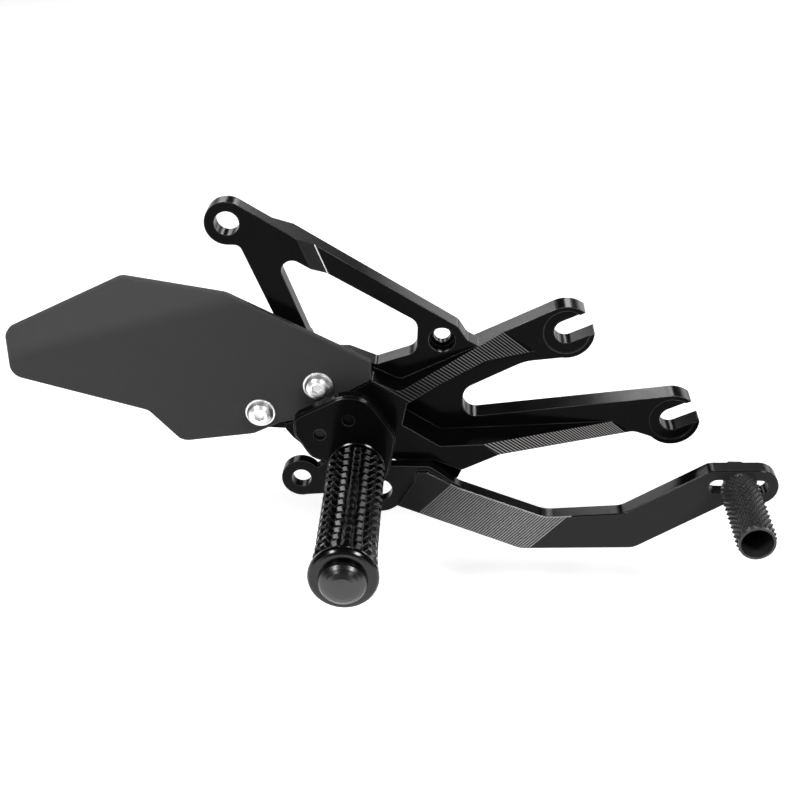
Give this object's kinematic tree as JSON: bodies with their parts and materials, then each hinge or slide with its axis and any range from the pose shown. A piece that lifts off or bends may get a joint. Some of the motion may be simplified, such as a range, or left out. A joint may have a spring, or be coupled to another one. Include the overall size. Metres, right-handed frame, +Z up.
{
  "type": "motorcycle rearset with footpeg and brake lever",
  "caption": "Right-hand rearset: milled bracket with open fork mounts, windowed rear arm, heel guard, toothed footpeg and a pivoting brake lever with knurled toe peg.",
  "frame": {"origin": "on the upper frame bolt's axis, in the plane of the fork faces that meet the motorcycle frame", "axes": "+X forward along the motorcycle, +Y inward to the frame along the bolt and pivot axes, +Z up"},
  "size_m": [0.3208, 0.1235, 0.1509],
  "materials": {
    "anodised_black": "black anodised, satin gloss",
    "guard_grey": "matte dark grey anodised",
    "anodised_dark_grey": "satin dark grey anodised",
    "knurl_grey": "diamond knurled, dark grey",
    "peg_black": "black anodised teeth with worn bright edges",
    "cap_black": "polished dark",
    "bright_steel": "bright zinc",
    "dark_steel": "blackened",
    "bronze": "plain bearing bronze"
  },
  "bodies": {
    "bracket": {"main_bracket": "anodised_black", "heel_guard": "guard_grey", "heel_guard_washers": "bright_steel", "heel_guard_bolts": "bright_steel", "peg_plate": "anodised_black", "plate_spacers": "dark_steel", "plate_screws": "dark_steel", "peg_dowel": "dark_steel", "pivot_sleeve": "dark_steel", "footpeg": "peg_black", "footpeg_end_cap": "cap_black", "footpeg_bolt": "dark_steel", "footpeg_washer": "dark_steel"},
    "lever": {"brake_lever": "anodised_dark_grey", "lever_bush_rear": "bronze", "lever_bush_front": "bronze", "toe_peg": "knurl_grey", "toe_peg_bolt": "dark_steel", "toe_peg_washer": "dark_steel", "toe_peg_nut": "dark_steel"}
  },
  "joints": [
    {"name": "brake_lever_pivot", "type": "hinge", "parent": "bracket", "child": "lever", "pos_m": [-0.0863, -0.0279, -0.05], "axis": [0, 1, 0], "range_deg": [0, 12]}
  ]
}
